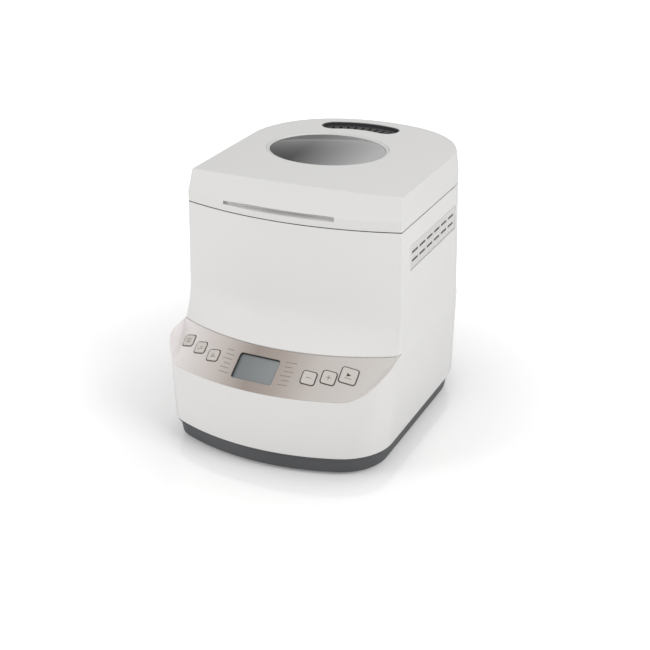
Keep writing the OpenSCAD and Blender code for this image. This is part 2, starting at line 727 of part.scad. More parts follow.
board_x = 100;
module power_board() color("#3f6b46") translate([board_x, motor_y + 66, chassis_z + chassis_t]) {
    cube([board_t, 92, 80]);
    translate([-6, 10, 0]) cube([6 + tiny, 30, 6]);
    translate([-6, 56, 0]) cube([6 + tiny, 26, 6]);
    translate([board_t - tiny, 12, 12]) cube([14, 34, 28]);
    translate([board_t - tiny, 60, 14]) cube([12, 18, 18]);
    for (i = [0:2]) translate([board_t - tiny, 18 + i * 22, 62]) rotate([0, 90, 0])
        cylinder(r = 6, h = 13, $fn = 32);
}

// Hinges
module at_hinge(s) translate([s * hinge_x, hinge_y, hinge_z]) children();
module hinge_bracket(s) color("#9a9da0") at_hinge(s) difference() {
    union() {
        translate([-barrel_w / 2 - ear_t - 3, -8, notch_z - hinge_z])
            cube([barrel_w + 2 * ear_t + 6, 16, 2.5]);
        for (k = [-1, 1]) translate([k * (barrel_w / 2 + play + ear_t / 2) - ear_t / 2, 0, 0]) {
            rotate([0, 90, 0]) cylinder(r = 6, h = ear_t);
            translate([0, -6, notch_z - hinge_z]) cube([ear_t, 12, hinge_z - notch_z]);
        }
    }
    rotate([0, 90, 0]) translate([0, 0, -30]) cylinder(d = pin_d, h = 60);
}
module hinge_bracket_left() hinge_bracket(-1);
module hinge_bracket_right() hinge_bracket(1);
module hinge_pin(s) color("silver") at_hinge(s) rotate([0, 90, 0])
    translate([0, 0, -barrel_w / 2 - ear_t - 1]) cylinder(d = pin_d, h = barrel_w + 2 * ear_t + 2);
module hinge_pin_left() hinge_pin(-1);
module hinge_pin_right() hinge_pin(1);

// Lid
lid_z = seam_z + seam_gap;
lid_lip = seam_z + 12;
lid_in = 2.3;
lid_low = level(lid_z, top_hw, face_y, front_bow, seam_corner, seam_corner);
lid_mid = level(lid_lip, top_hw, face_y, front_bow, seam_corner, seam_corner);
lid_edge = level(body_h - 1.2, top_hw - lid_in, face_y + 23.5, 4, 3, 3, back_y - 3);
lid_top = level(body_h, top_hw - lid_in - 1.2, face_y + 24.7, 4, 2.5, 2.5, back_y - 4.2);
lid_wall = wall;
window_y = pan_y;
liner_z = lid_z + 0.2;
liner_t = 1.5;

module lid_solid() loft([loop(lid_low), loop(lid_mid), loop(lid_edge), loop(lid_top)]);

module lid_skin() loft([
    loop(shift_in(lid_top, lid_wall, body_h - lid_wall)), loop(shift_in(lid_mid, lid_wall)),
    loop(shift_in(lid_low, lid_wall)), loop(lid_low), loop(lid_mid), loop(lid_edge), loop(lid_top)
]);

function ellipse(rx, ry, z = undef) = [for (i = [0:47]) let (a = i * 7.5)
    is_undef(z) ? [rx * cos(a), ry * sin(a)] : [rx * cos(a), ry * sin(a), z]];
module at_window(z = 0) translate([pan_x, window_y, z]) children();

handle_x = pan_x + 8;
handle_top = lid_z + 16;
handle_back = face_y + 17;
module handle_block(t) translate([handle_x - handle_w / 2 - 4 + t, face_y - 10, lid_z - 1])
    cube([handle_w + 8 - 2 * t, handle_back - face_y + 10 - t, handle_top - lid_z + 1 - t]);

vent_x = pan_x + 8;
vent_y = pan_y + 7;
vent_r = 95;
vent_turn = 21;
vent_tilt = 4;          // turned a little to follow the back edge of the lid
vent_floor = body_h - 4;
function arc(c, r, a0, a1, n) = [for (i = [0:n]) let (a = a0 + (a1 - a0) * i / n) c + r * [cos(a), sin(a)]];
function turned(s) = vent_r * [sin(s * vent_turn), cos(vent_turn)];
module vent_outline(grow) translate([vent_x, vent_y]) rotate(vent_tilt) {
    r = vent_w / 2 + grow;
    a0 = 90 - vent_turn;
    a1 = 90 + vent_turn;
    polygon(concat(
        arc([0, 0], vent_r + r, a0, a1, 18), arc(turned(-1), r, a1 + 15, a1 + 165, 10),
        arc([0, 0], vent_r - r, a1, a0, 14), arc(turned(1), r, a0 - 165, a0 - 15, 10)
    ));
}

module lid_shell() color("white") difference() {
    lid_skin();
    at_window(body_h - 2 * lid_wall) linear_extrude(4 * lid_wall)
        polygon(ellipse(window_rx + fit, window_ry + fit));
    translate([0, 0, body_h - 2 * lid_wall]) linear_extrude(4 * lid_wall) vent_outline(fit);
    handle_block(0);
}

scoop_z = lid_z + 7.5;
module lid_handle() color("white") difference() {
    intersection() {
        lid_solid();
        handle_block(fit);
    }
    translate([handle_x + handle_w / 2, 0, 0]) rotate([0, -90, 0]) linear_extrude(handle_w) polygon([
        [scoop_z, face_y - 20], [scoop_z, face_y + 11.5], [scoop_z + 2.5, face_y + 11.5],
        [scoop_z + 5.5, face_y + 4], [scoop_z + 5.5, face_y - 20]
    ]);
}

collar = 1.5;
glass_rx = window_rx - 4;
glass_ry = window_ry - 4.5;
glass_z = body_h - 3.5;
glass_t = 2;
module lid_liner() color("#b4b6b8") difference() {
    union() {
        translate([0, 0, liner_z]) linear_extrude(liner_t) difference() {
            polygon(flat(shift_in(lid_low, lid_wall + fit, ft = handle_back - face_y + 1)));
            translate([-notch_hw - 2, notch_y - 4]) square([2 * notch_hw + 4, 60]);
        }
        at_window(liner_z + tiny) linear_extrude(glass_z - 1.4 - liner_z)
            polygon(ellipse(glass_rx - 1, glass_ry - 1));
    }
    at_window(liner_z - 1) linear_extrude(60)
        polygon(ellipse(glass_rx - 1 - collar, glass_ry - 1 - collar));
    for (i = [-4:4]) translate([vent_x, vent_y, liner_z - 1]) rotate(90 + vent_tilt + i * 5)
        translate([vent_r - 12, 0, 0]) cylinder(r = 2, h = 5, $fn = 24);
}

seal_h = liner_z - deck_z - deck_t - play;
module lid_seal() color("#b7b3ad") at_pan(liner_z - seal_h) linear_extrude(seal_h) difference() {
    rrect(chamber_w + 9, chamber_l + 9, chamber_r + 4.5);
    rrect(chamber_w + 1, chamber_l + 1, chamber_r + 0.5);
}

module window_ring() color("#cfcfcd") at_window() loft([
    ellipse(window_rx, window_ry, glass_z - 1), ellipse(window_rx, window_ry, body_h),
    ellipse(window_rx - 0.8, window_ry - 0.8, body_h),
    ellipse(glass_rx + fit, glass_ry + fit, glass_z + glass_t + 0.3),
    ellipse(glass_rx + fit, glass_ry + fit, glass_z), ellipse(glass_rx - 3, glass_ry - 3, glass_z),
    ellipse(glass_rx - 3, glass_ry - 3, glass_z - 1)
], ring = true);
module window_glass() color("#6d7073") at_window(glass_z) linear_extrude(glass_t)
    polygon(ellipse(glass_rx, glass_ry));

module steam_vent() color("#3f3f41") difference() {
    union() {
        translate([0, 0, vent_floor - 2]) linear_extrude(2) vent_outline(0);
        translate([0, 0, vent_floor - tiny]) linear_extrude(body_h - 0.6 - vent_floor) difference() {
            vent_outline(0);
            vent_outline(-1.6);
        }
    }
    for (i = [-4:4]) translate([vent_x, vent_y, vent_floor - 3]) rotate(90 + vent_tilt + i * 5.4)
        translate([vent_r - 8, -1.5, 0]) cube([16, 3, 4]);
}

arm_w = barrel_w;
module hinge_arm(s) color("#9a9da0") at_hinge(s) difference() {
    rotate([90, 0, 90]) translate([0, 0, -arm_w / 2]) linear_extrude(arm_w) union() {
        circle(barrel_r);
        polygon([
            [-3, -2], [barrel_r - 1.5, 2], [2, 14], [-20, 16],
            [notch_y - 26 - hinge_y, liner_z + liner_t + 3 - hinge_z],
            [notch_y - 26 - hinge_y, liner_z + liner_t - hinge_z],
            [notch_y - 3 - hinge_y, liner_z + liner_t - hinge_z],
            [-8, liner_z - hinge_z]
        ]);
    }
    rotate([0, 90, 0]) translate([0, 0, -20]) cylinder(d = pin_d + 2 * run, h = 40);
}
module hinge_arm_left() hinge_arm(-1);
module hinge_arm_right() hinge_arm(1);

housing();
base_tray();
foot_front_left();
foot_front_right();
foot_back_left();
foot_back_right();
base_screw_1();
base_screw_2();
base_screw_3();
base_screw_4();
side_vent_grille();
control_panel();
lcd_lens();
lcd_module();
keypad_board_left();
keypad_board_right();
top_deck();
oven_liner();
heating_element();
element_bracket_left();
element_bracket_right();
temperature_sensor();
pan_seat();
chassis_plate();
motor_body();
motor_mounts();
power_board();
spindle_bearing();
drive_belt();
cord_gland();
hinge_bracket_left();
hinge_bracket_right();
hinge_pin_left();
hinge_pin_right();
lid_shell();
lid_handle();
lid_liner();
lid_seal();
window_ring();
window_glass();
steam_vent();
hinge_arm_left();
hinge_arm_right();
button_menu();
button_size();
button_crust();
button_minus();
button_plus();
button_start();
bread_pan();
pan_bearing();
pan_handle();
paddle_shaft();
kneading_paddle();
spindle();
driven_pulley();
motor_shaft();
motor_pulley();
cooling_fan();
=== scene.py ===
# %% [markdown]
# # A domestic bread machine
# The engineering model gives every piece its true place and size. This notebook loads it as a
# frame, then gives the visible shells smooth surfaces and every piece a real finish.
# We start by loading the frame.

# %% Load the frame
import json
import math
import bmesh
import bpy
from mathutils import Matrix, Vector


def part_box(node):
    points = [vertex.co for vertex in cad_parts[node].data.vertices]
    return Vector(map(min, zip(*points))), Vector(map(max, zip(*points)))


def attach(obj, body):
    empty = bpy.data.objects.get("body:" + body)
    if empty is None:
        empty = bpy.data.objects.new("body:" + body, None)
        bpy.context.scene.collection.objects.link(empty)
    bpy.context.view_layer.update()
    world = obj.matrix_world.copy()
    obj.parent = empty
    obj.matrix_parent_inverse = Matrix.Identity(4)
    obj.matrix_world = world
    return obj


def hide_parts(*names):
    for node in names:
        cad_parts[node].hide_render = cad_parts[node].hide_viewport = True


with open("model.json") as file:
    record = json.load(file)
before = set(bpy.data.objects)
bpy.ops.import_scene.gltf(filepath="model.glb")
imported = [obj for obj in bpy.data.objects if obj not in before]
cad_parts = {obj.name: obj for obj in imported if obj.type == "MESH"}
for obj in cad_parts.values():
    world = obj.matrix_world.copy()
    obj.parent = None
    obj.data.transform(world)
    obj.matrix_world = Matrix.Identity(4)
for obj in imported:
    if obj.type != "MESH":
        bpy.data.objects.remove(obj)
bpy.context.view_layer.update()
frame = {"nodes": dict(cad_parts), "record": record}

# %% [markdown]
# ## Driving sizes
# The shells share one family of outlines: a D seen from above, with a bowed front, two front
# corners and a deep rounded back. A level of the body is one such outline at one height. Sizes
# are in millimetres here and turned into metres when a mesh is made.

# %% Sizes of the body
MM = 0.001


def box_mm(node):
    """Lowest and highest corner of an engineered piece, in millimetres."""
    low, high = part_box(node)
    return low / MM, high / MM


housing_low, housing_high = box_mm("housing")
lid_low_corner, lid_high_corner = box_mm("lid_shell")
seam_z = housing_high.z
lid_top_z = lid_high_corner.z
half_width = lid_high_corner.x
front_y = housing_low.y
back_y = housing_high.y
body_z = housing_low.z
wall = 2.5
face_y = box_mm("lid_handle")[0].y
panel_back_y = face_y - 27
ledge_low = 96
ledge_high = 130
curl = 48
climb = ledge_high - ledge_low - 3
step = 0.8
riser = 1.4            # height of the sweep's foot above the panel
draft = 2.4            # the upper walls lean this far out towards the ledge, each side
front_bow = 21.5
ledge_bow = 34
panel_depth = 2.4
panel_seat = panel_depth + 0.4
print("seam at", round(seam_z), "mm, lid top at", round(lid_top_z), "mm")
print("front face at", round(face_y, 1), "mm")


# %% Levels and outlines
def level(z, half, front, bow, left, right, back=None, rise=0.0):
    """One outline of the body: height, half width, front, front sagitta, two front corner radii."""
    return dict(z=z, half=half, front=front, bow=bow, left=left, right=right,
                back=back_y if back is None else back, rise=rise, back_bow=60, back_corner=105)


def changed(base, **new):
    return {**base, **new}


def inset(base, amount, **new):
    """The same outline moved inwards by amount."""
    smaller = changed(base, half=base["half"] - amount, front=base["front"] + amount,
                      back=base["back"] - amount, left=max(base["left"] - amount, 1.5),
                      right=max(base["right"] - amount, 1.5), back_corner=base["back_corner"] - amount)
    return {**smaller, **new}


def bow_radius(half, bow):
    return (half * half + bow * bow) / (2 * bow)


def corner_reach(half, bow, corner):
    return math.sqrt((bow_radius(half, bow) - corner) ** 2 - (half - corner) ** 2)


def corner_turn(half, bow, corner):
    return math.atan2(corner_reach(half, bow, corner), half - corner)


CORNER_STEPS = 16
BACK_STEPS = 24
FRONT_STEPS = 40
LEFT_START = 2 * CORNER_STEPS + BACK_STEPS + 1
FRONT_LAST = LEFT_START + 2 * CORNER_STEPS + FRONT_STEPS


def arc_points(cx, cy, radius, start, end, count, shares):
    """Points along an arc, each with the share of the level's rise that it takes."""
    points = []
    for i in range(count + 1):
        angle = start + (end - start) * i / count
        share = shares[0] + (shares[1] - shares[0]) * i / count
        points.append((cx + radius * math.cos(angle), cy + radius * math.sin(angle), share))
    return points


def outline(lv):
    """Points of a level, counter-clockwise from the right side."""
    half, bow, left, right = lv["half"], lv["bow"], lv["left"], lv["right"]
    back_bow, back_corner = lv["back_bow"], lv["back_corner"]
    back_r = bow_radius(half, back_bow)
    back_c = lv["back"] - back_r
    back_t = corner_turn(half, back_bow, back_corner)
    corner_y = back_c + corner_reach(half, back_bow, back_corner)
    front_r = bow_radius(half, bow)
    front_c = lv["front"] + front_r
    turn_l = corner_turn(half, bow, left)
    turn_r = corner_turn(half, bow, right)
    left_y = front_c - corner_reach(half, bow, left)
    right_y = front_c - corner_reach(half, bow, right)
    pi = math.pi
    points = arc_points(half - back_corner, corner_y, back_corner, 0, back_t, CORNER_STEPS, (1, 1))
    points += arc_points(0, back_c, back_r, back_t, pi - back_t, BACK_STEPS, (1, 1))[1:-1]
    points += arc_points(back_corner - half, corner_y, back_corner, pi - back_t, pi,
                         CORNER_STEPS, (1, 1))
    points += arc_points(left - half, left_y, left, pi, pi + turn_l, CORNER_STEPS, (1, 0))
    points += arc_points(0, front_c, front_r, pi + turn_l, 2 * pi - turn_r, FRONT_STEPS, (0, 0))[1:-1]
    points += arc_points(half - right, right_y, right, 2 * pi - turn_r, 2 * pi, CORNER_STEPS, (0, 1))
    return points


def smooth(share):
    return share * share * (3 - 2 * share)


def loop(lv):
    """A level as points in space, in metres."""
    return [Vector((x, y, lv["z"] + lv["rise"] * smooth(s))) * MM for x, y, s in outline(lv)]


print("points in an outline:", len(loop(level(0, 130, -112, 21.5, 2, 2))))

# %% [markdown]
# ## Mesh helpers
# A moulded shell is a skin over a stack of outlines. We lay the first outline down as a ring of
# edges, then extrude it again and again and set every new ring on the next outline. Bridging
# separate rings would also do, but it can turn one round where two lie at the same height. The
# same small helper makes the housing, the lid, the tray and the window ring. Openings are cut
# afterwards with a Boolean, as a toolmaker would cut them into the mould.

# %% Mesh helpers
def new_piece(name, bm):
    mesh = bpy.data.meshes.new(name)
    bm.to_mesh(mesh)
    bm.free()
    piece = bpy.data.objects.new(name, mesh)
    bpy.context.scene.collection.objects.link(piece)
    return piece


def add_ring(bm, points):
    """A closed ring of edges through the points."""
    verts = [bm.verts.new(p) for p in points]
    return [bm.edges.new((verts[i], verts[(i + 1) % len(verts)])) for i in range(len(verts))]


def grow_ring(bm, verts, points):
    """Extrudes a ring of vertices into a new ring at the points; returns the new vertices."""
    count = len(verts)
    edges = [bm.edges.get((verts[i], verts[(i + 1) % count])) for i in range(count)]
    grown = bmesh.ops.extrude_edge_only(bm, edges=edges)["geom"]
    fresh = {g for g in grown if isinstance(g, bmesh.types.BMVert)}
    partners = []
    for vert, point in zip(verts, points):
        partner = next(e.other_vert(vert) for e in vert.link_edges if e.other_vert(vert) in fresh)
        partner.co = point
        partners.append(partner)
    return partners


def skin(name, rings, closed):
    """A skin over rings of points; closed joins the last ring to the first, else both are filled."""
    bm = bmesh.new()
    first = add_ring(bm, rings[0])
    verts = list(bm.verts)
    for ring in rings[1:]:
        verts = grow_ring(bm, verts, ring)
    if closed:
        grow_ring(bm, verts, rings[0])
        bmesh.ops.remove_doubles(bm, verts=bm.verts, dist=0.001 * MM)
    else:
        last = [bm.edges.get((verts[i - 1], verts[i])) for i in range(len(verts))]
        for ring in (first, last):
            bmesh.ops.edgeloop_fill(bm, edges=ring)
    bmesh.ops.recalc_face_normals(bm, faces=bm.faces)
    return new_piece(name, bm)


def prism(name, points, depth, matrix=None):
    """A flat outline given thickness along +Z, then placed by matrix. Lengths in metres."""
    bm = bmesh.new()
    ring = add_ring(bm, [Vector((x, y, 0)) for x, y in points])
    filled = bmesh.ops.edgeloop_fill(bm, edges=ring)["faces"]
    grown = bmesh.ops.extrude_face_region(bm, geom=filled)["geom"]
    lifted = [g for g in grown if isinstance(g, bmesh.types.BMVert)]
    bmesh.ops.translate(bm, vec=(0, 0, depth), verts=lifted)
    bmesh.ops.recalc_face_normals(bm, faces=bm.faces)
    if matrix is not None:
        bmesh.ops.transform(bm, matrix=matrix, verts=bm.verts)
    return new_piece(name, bm)


def bake_modifiers(piece):
    """Keeps the result of the modifiers as the piece's own mesh."""
    graph = bpy.context.evaluated_depsgraph_get()
    result = bpy.data.meshes.new_from_object(piece.evaluated_get(graph))
    piece.modifiers.clear()
    piece.data = result


def cut(piece, cutters):
    """Cuts each cutter out of the piece, then throws the cutters away."""
    for cutter in cutters:
        step_cut = piece.modifiers.new("cut", "BOOLEAN")
        step_cut.operation = "DIFFERENCE"
        step_cut.solver = "EXACT"
        step_cut.object = cutter
    bake_modifiers(piece)
    for cutter in cutters:
        bpy.data.objects.remove(cutter)


def round_edges(piece, radius, segments=3, angle=40):
    """A small moulded radius on the sharp edges."""
    bevel = piece.modifiers.new("edge", "BEVEL")
    bevel.width = radius * MM
    bevel.segments = segments
    bevel.limit_method = "ANGLE"
    bevel.angle_limit = math.radians(angle)
    bevel.harden_normals = False
    bake_modifiers(piece)


def shade(piece, angle=32):
    """Smooth shading that keeps real edges crisp."""
    piece.data.shade_smooth()
    piece.data.set_sharp_from_angle(angle=math.radians(angle))


def place_piece(piece, body, slot, material, *nodes):
    """Gives a piece its finish, its body and the engineered pieces that it stands for."""
    piece.data.materials.clear()
    piece.data.materials.append(material)
    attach(piece, body)
    if nodes:
        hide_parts(*nodes)
    print(piece.name, "faces:", len(piece.data.polygons))


def rounded_rectangle(width, height, radius, steps=6):
    """Corner points of a rounded rectangle round the origin, in the same unit as its sizes."""
    points = []
    for k, (sx, sy) in enumerate(((1, 1), (-1, 1), (-1, -1), (1, -1))):
        cx, cy = sx * (width / 2 - radius), sy * (height / 2 - radius)
        points += [(x, y) for x, y, _ in arc_points(cx, cy, radius, k * math.pi / 2,
                                                    (k + 1) * math.pi / 2, steps, (0, 0))]
    return points


# %% [markdown]
# ## Materials
# Each finish is named for what the real piece is made of. A machine like this is mostly glossy
# white ABS, which is never perfectly even: the surface has a faint orange peel from the mould
# and tiny changes of gloss. Metals get brushing, the tray gets a coarse spark-eroded grain.

# %% Material helpers
def linear(hex_colour, alpha=1.0):
    """An sRGB hex colour as the linear values that Blender uses."""
    values = []
    for i in (0, 2, 4):
        c = int(hex_colour[i:i + 2], 16) / 255
        values.append(c / 12.92 if c <= 0.04045 else ((c + 0.055) / 1.055) ** 2.4)
    return (*values, alpha)


def node(tree, kind, links=None, **settings):
    """Adds a node: settings are its properties, links give its inputs a value or another socket."""
    made = tree.nodes.new(kind)
    for key, value in settings.items():
        setattr(made, key, value)
    for key, value in (links or {}).items():
        if isinstance(value, bpy.types.NodeSocket):
            tree.links.new(value, made.inputs[key])
        else:
            made.inputs[key].default_value = value
    return made


def new_material(name):
    """An empty material with a surface shader; returns the material, its tree and the shader."""
    material = bpy.data.materials.new(name)
    material.use_nodes = True
    tree = material.node_tree
    tree.nodes.clear()
    shader = node(tree, "ShaderNodeBsdfPrincipled")
    out = node(tree, "ShaderNodeOutputMaterial")
    tree.links.new(shader.outputs["BSDF"], out.inputs["Surface"])
    return material, tree, shader


def object_coordinates(tree, stretch=(1, 1, 1)):
    place = node(tree, "ShaderNodeTexCoord")
    mapping = node(tree, "ShaderNodeMapping", {"Vector": place.outputs["Object"], "Scale": stretch})
    return mapping.outputs["Vector"]


def grain(tree, size_mm, detail=3.0, stretch=(1, 1, 1), rough=0.5):
    """A noise pattern whose blobs measure about size_mm on the piece."""
    scale = 1 / (size_mm * MM)
    made = node(tree, "ShaderNodeTexNoise", {"Vector": object_coordinates(tree, stretch), "Scale": scale,
                                             "Detail": detail, "Roughness": rough})
    return made.outputs["Fac"]


def between(tree, factor, low, high):
    """Turns a pattern from 0..1 into a number from low to high."""
    return node(tree, "ShaderNodeMapRange", {"Value": factor, "From Min": 0.3, "From Max": 0.7,
                                             "To Min": low, "To Max": high}).outputs["Result"]


def sideways(tree, low_mm, high_mm):
    """Runs from 0 to 1 across the machine between two places."""
    place = node(tree, "ShaderNodeTexCoord").outputs["Object"]
    across = node(tree, "ShaderNodeSeparateXYZ", {"Vector": place}).outputs["X"]
    return node(tree, "ShaderNodeMapRange", {"Value": across, "From Min": low_mm * MM,
                                             "From Max": high_mm * MM}).outputs["Result"]


def two_tone(tree, factor, first, second):
    """Blends two hex colours by a pattern."""
    made = node(tree, "ShaderNodeMix", data_type="RGBA")
    tree.links.new(factor, made.inputs[0])
    made.inputs[6].default_value = linear(first)
    made.inputs[7].default_value = linear(second)
    return made.outputs[2]


def relief(tree, shader, height, depth_mm, strength=0.3):
    """Feeds a height pattern to the shader's normal."""
    made = node(tree, "ShaderNodeBump", {"Height": height, "Distance": depth_mm * MM,
                                         "Strength": strength})
    tree.links.new(made.outputs["Normal"], shader.inputs["Normal"])


def moulded_plastic(name, first, second, gloss, grain_mm, depth_mm, coat=0.0):
    """Injection-moulded plastic: two close colours, uneven gloss and the grain of the mould."""
    material, tree, shader = new_material(name)
    patch = grain(tree, 90, 0, rough=0.3)
    fine = grain(tree, grain_mm, 2)
    tree.links.new(two_tone(tree, patch, first, second), shader.inputs["Base Color"])
    tree.links.new(between(tree, patch, gloss - 0.01, gloss + 0.01), shader.inputs["Roughness"])
    relief(tree, shader, fine, depth_mm)
    shader.inputs["IOR"].default_value = 1.53
    shader.inputs["Coat Weight"].default_value = coat
    shader.inputs["Coat Roughness"].default_value = 0.12
    return material


def metal(name, first, second, roughness, stretch, line_mm, depth_mm=0.01):
    """Worked metal: fine lines along one direction show the rolling or brushing."""
    material, tree, shader = new_material(name)
    lines = grain(tree, line_mm, 4, stretch)
    tree.links.new(two_tone(tree, lines, first, second), shader.inputs["Base Color"])
    tree.links.new(between(tree, lines, roughness - 0.06, roughness + 0.06), shader.inputs["Roughness"])
    relief(tree, shader, lines, depth_mm, 0.25)
    shader.inputs["Metallic"].default_value = 1.0
    return material


# %% The finishes
# Glossy white ABS: bright, slightly warm, with a faint orange peel
white_abs = moulded_plastic("white_abs_housing", "e9e8e6", "e7e6e4", 0.26, 2.0, 0.006, 0.25)
white_abs_lid = moulded_plastic("white_abs_lid", "e6e5e3", "e4e3e1", 0.30, 2.0, 0.006, 0.2)
# Dark polypropylene tray: spark-eroded grain, coarser than real so that it shows
grey_pp = moulded_plastic("dark_grey_pp_tray", "57585a", "4c4d4f", 0.5, 0.9, 0.06)
# Champagne lacquer on the panel: a fine metallic flake under satin varnish. Across the width the
# colour also carries painted light: painted shade, darkest near the display, and a painted
# reflection that runs out almost white at the left end, which the ramp's stops describe.
panel_painted_light_stops = ((0.10, "ece6e4"), (0.28, "cfc6c0"), (0.43, "a3978f"), (0.56, "b3a8a0"), (0.72, "d2cbc6"))
champagne, champagne_tree, champagne_shader = new_material("champagne_lacquer_with_painted_light")
flake = grain(champagne_tree, 0.8, 2)
across_panel_for_painted_light = sideways(champagne_tree, -(half_width + 4), half_width + 4)
# The ramp paints light across the panel: painted reflection towards the ends, painted shade in the
# middle
ramp = node(champagne_tree, "ShaderNodeValToRGB", {"Fac": across_panel_for_painted_light})
ramp.color_ramp.elements[0].color = linear("fbf6f6")
ramp.color_ramp.elements[1].color = linear("dedad6")
for place, painted_light_tone in panel_painted_light_stops:
    ramp.color_ramp.elements.new(place).color = linear(painted_light_tone)
flake_share = between(champagne_tree, flake, 0.0, 0.12)
sparkle = node(champagne_tree, "ShaderNodeMix", {0: flake_share}, data_type="RGBA")
champagne_tree.links.new(ramp.outputs["Color"], sparkle.inputs[6])
sparkle.inputs[7].default_value = linear("8f857d")
champagne_tree.links.new(sparkle.outputs[2], champagne_shader.inputs["Base Color"])
flake_gloss = between(champagne_tree, flake, 0.28, 0.38)
champagne_tree.links.new(flake_gloss, champagne_shader.inputs["Roughness"])
relief(champagne_tree, champagne_shader, flake, 0.01, 0.2)
champagne_shader.inputs["Metallic"].default_value = 0.12
champagne_shader.inputs["Coat Weight"].default_value = 0.4
champagne_shader.inputs["Coat Roughness"].default_value = 0.15
# Pearl grey keys, a touch cooler than the panel
key_plastic = moulded_plastic("pearl_key_plastic", "d4cec8", "cec7c1", 0.3, 1.2, 0.015, 0.3)
ring_plastic = moulded_plastic("light_grey_window_ring", "dcdcda", "d7d7d5", 0.3, 2.0, 0.015, 0.2)
vent_plastic = moulded_plastic("charcoal_vent_plastic", "414143", "38383a", 0.5, 1.0, 0.05)
grille_plastic = moulded_plastic("white_grille_plastic", "dedddb", "d7d6d4", 0.38, 1.5, 0.02)
pulley_plastic = moulded_plastic("natural_acetal", "d8d8d2", "cfcfc8", 0.42, 1.5, 0.02)
rubber = moulded_plastic("black_rubber", "1f1f20", "2a2a2b", 0.72, 0.8, 0.05)
seal_rubber = moulded_plastic("grey_silicone_seal", "a9a59f", "9e9a94", 0.6, 1.0, 0.03)
board_lacquer = moulded_plastic("green_solder_mask", "2f5b3a", "284f32", 0.35, 1.5, 0.02, 0.3)
deck_paint = moulded_plastic("white_painted_steel", "d3d3d1", "cbcbc9", 0.4, 1.0, 0.02)
print_grey = moulded_plastic("grey_printing_ink", "827a74", "7a726c", 0.5, 0.8, 0.01)
key_line = moulded_plastic("dark_grey_key_outline", "4c4744", "45403d", 0.45, 0.8, 0.01)
# Black finish for the painted shadow in the display's recess
display_recess_shadow = moulded_plastic("black_painted_recess_shadow", "2d2c2c", "242323", 0.35, 1.0, 0.01)
# Metals
steel = metal("brushed_steel", "a8a9aa", "8f9091", 0.34, (1, 1, 0.05), 0.6)
liner_metal = metal("aluminised_steel_sheet", "b3b5b7", "9fa1a3", 0.38, (1, 1, 0.08), 1.0)
motor_metal = metal("zinc_plated_motor_can", "94979a", "7f8285", 0.42, (1, 1, 0.2), 1.2)
element_metal = metal("heat_stained_element_tube", "6a5f56", "4c443e", 0.48, (1, 1, 1), 4.0)

# %% [markdown]
# ## Coating, glass and display
# The pan's non-stick coating is dark with lighter specks. The window is a smoked sheet that lets
# a little of the chamber show; a painted reflection lightens it towards one side. The display is a
# pale grey glass with a painted reflection of its own, and the dark plate round it is painted shadow.

# %% Coating, window and display
pan_coating, pan_tree, pan_shader = new_material("speckled_non_stick_coating")
speck_mm = 3.2
speck_size = 0.22
speck = node(pan_tree, "ShaderNodeTexVoronoi", {"Vector": object_coordinates(pan_tree),
                                                "Scale": 1 / (speck_mm * MM)})
speck_mask = node(pan_tree, "ShaderNodeMath", {0: speck.outputs["Distance"], 1: speck_size},
                  operation="LESS_THAN")
speckled = two_tone(pan_tree, speck_mask.outputs["Value"], "313133", "6e6e70")
pan_tree.links.new(speckled, pan_shader.inputs["Base Color"])
pan_tree.links.new(between(pan_tree, grain(pan_tree, 2), 0.34, 0.46), pan_shader.inputs["Roughness"])
pan_shader.inputs["Metallic"].default_value = 0.2


def glass_with_painted_reflection(name, tint, second, roughness, clear, painted_reflection_span):
    """Tinted sheet with a painted reflection that lightens it towards one side, and a hint of dust in
    its gloss.
    """
    material, tree, shader = new_material(name)
    dust = grain(tree, 25, 3)
    # The second colour is a painted reflection, blended in across the sheet
    tree.links.new(two_tone(tree, sideways(tree, *painted_reflection_span), tint, second), shader.inputs["Base Color"])
    tree.links.new(between(tree, dust, roughness, roughness + 0.03), shader.inputs["Roughness"])
    shader.inputs["Transmission Weight"].default_value = clear
    shader.inputs["IOR"].default_value = 1.5
    return material


window_glass = glass_with_painted_reflection("smoked_window_glass_painted_reflection", "222427", "bababa", 0.03, 0.08, (-45, 42))
display_glass = glass_with_painted_reflection("grey_display_glass_painted_reflection", "7a7e80", "8f9393", 0.06, 0.0, (-38, 12))

slot_finish = {
    "white": white_abs, "lid_white": white_abs_lid, "base_grey": grey_pp, "panel": champagne,
    "button": key_plastic, "lcd": display_glass, "window": window_glass, "ring": ring_plastic,
    "vent_grey": vent_plastic, "grille": grille_plastic, "rubber": rubber, "steel": steel,
    "liner": liner_metal, "pan": pan_coating, "element": element_metal, "board": board_lacquer,
    "motor": motor_metal, "pulley": pulley_plastic, "seal": seal_rubber, "deck": deck_paint,
}
slot_of = {s["node"]: s["material_slot"] for s in frame["record"]["subparts"]}
for name, engineered in frame["nodes"].items():
    finish = slot_finish[slot_of[name]]
    if not engineered.material_slots:
        engineered.data.materials.append(finish)
    for material_slot in engineered.material_slots:
        material_slot.material = finish
print("finishes given to", len(frame["nodes"]), "pieces")

# %% [markdown]
# ## The housing
# The real housing is one white moulding about 2.5 mm thick. Below, it bulges into the control
# ledge; above, the front face rises through a concave sweep to the lid seam. The outside and
# the inside are one closed skin, so the wall has a true thickness at every opening.

# %% Housing levels
low_half = half_width + 1
ledge_half = half_width + 4
base_level = level(body_z + 2.5, low_half, front_y + 1, ledge_bow, 34, 62)
edge_level = level(ledge_low, ledge_half, front_y, ledge_bow, 32, 62, rise=climb)
shelf_level = level(ledge_high, ledge_half - 0.4, panel_back_y, front_bow + 15, 10, 16)
seam_level = level(seam_z, half_width, face_y, front_bow, 2, 2)


def mix(a, b, share):
    return a + (b - a) * share


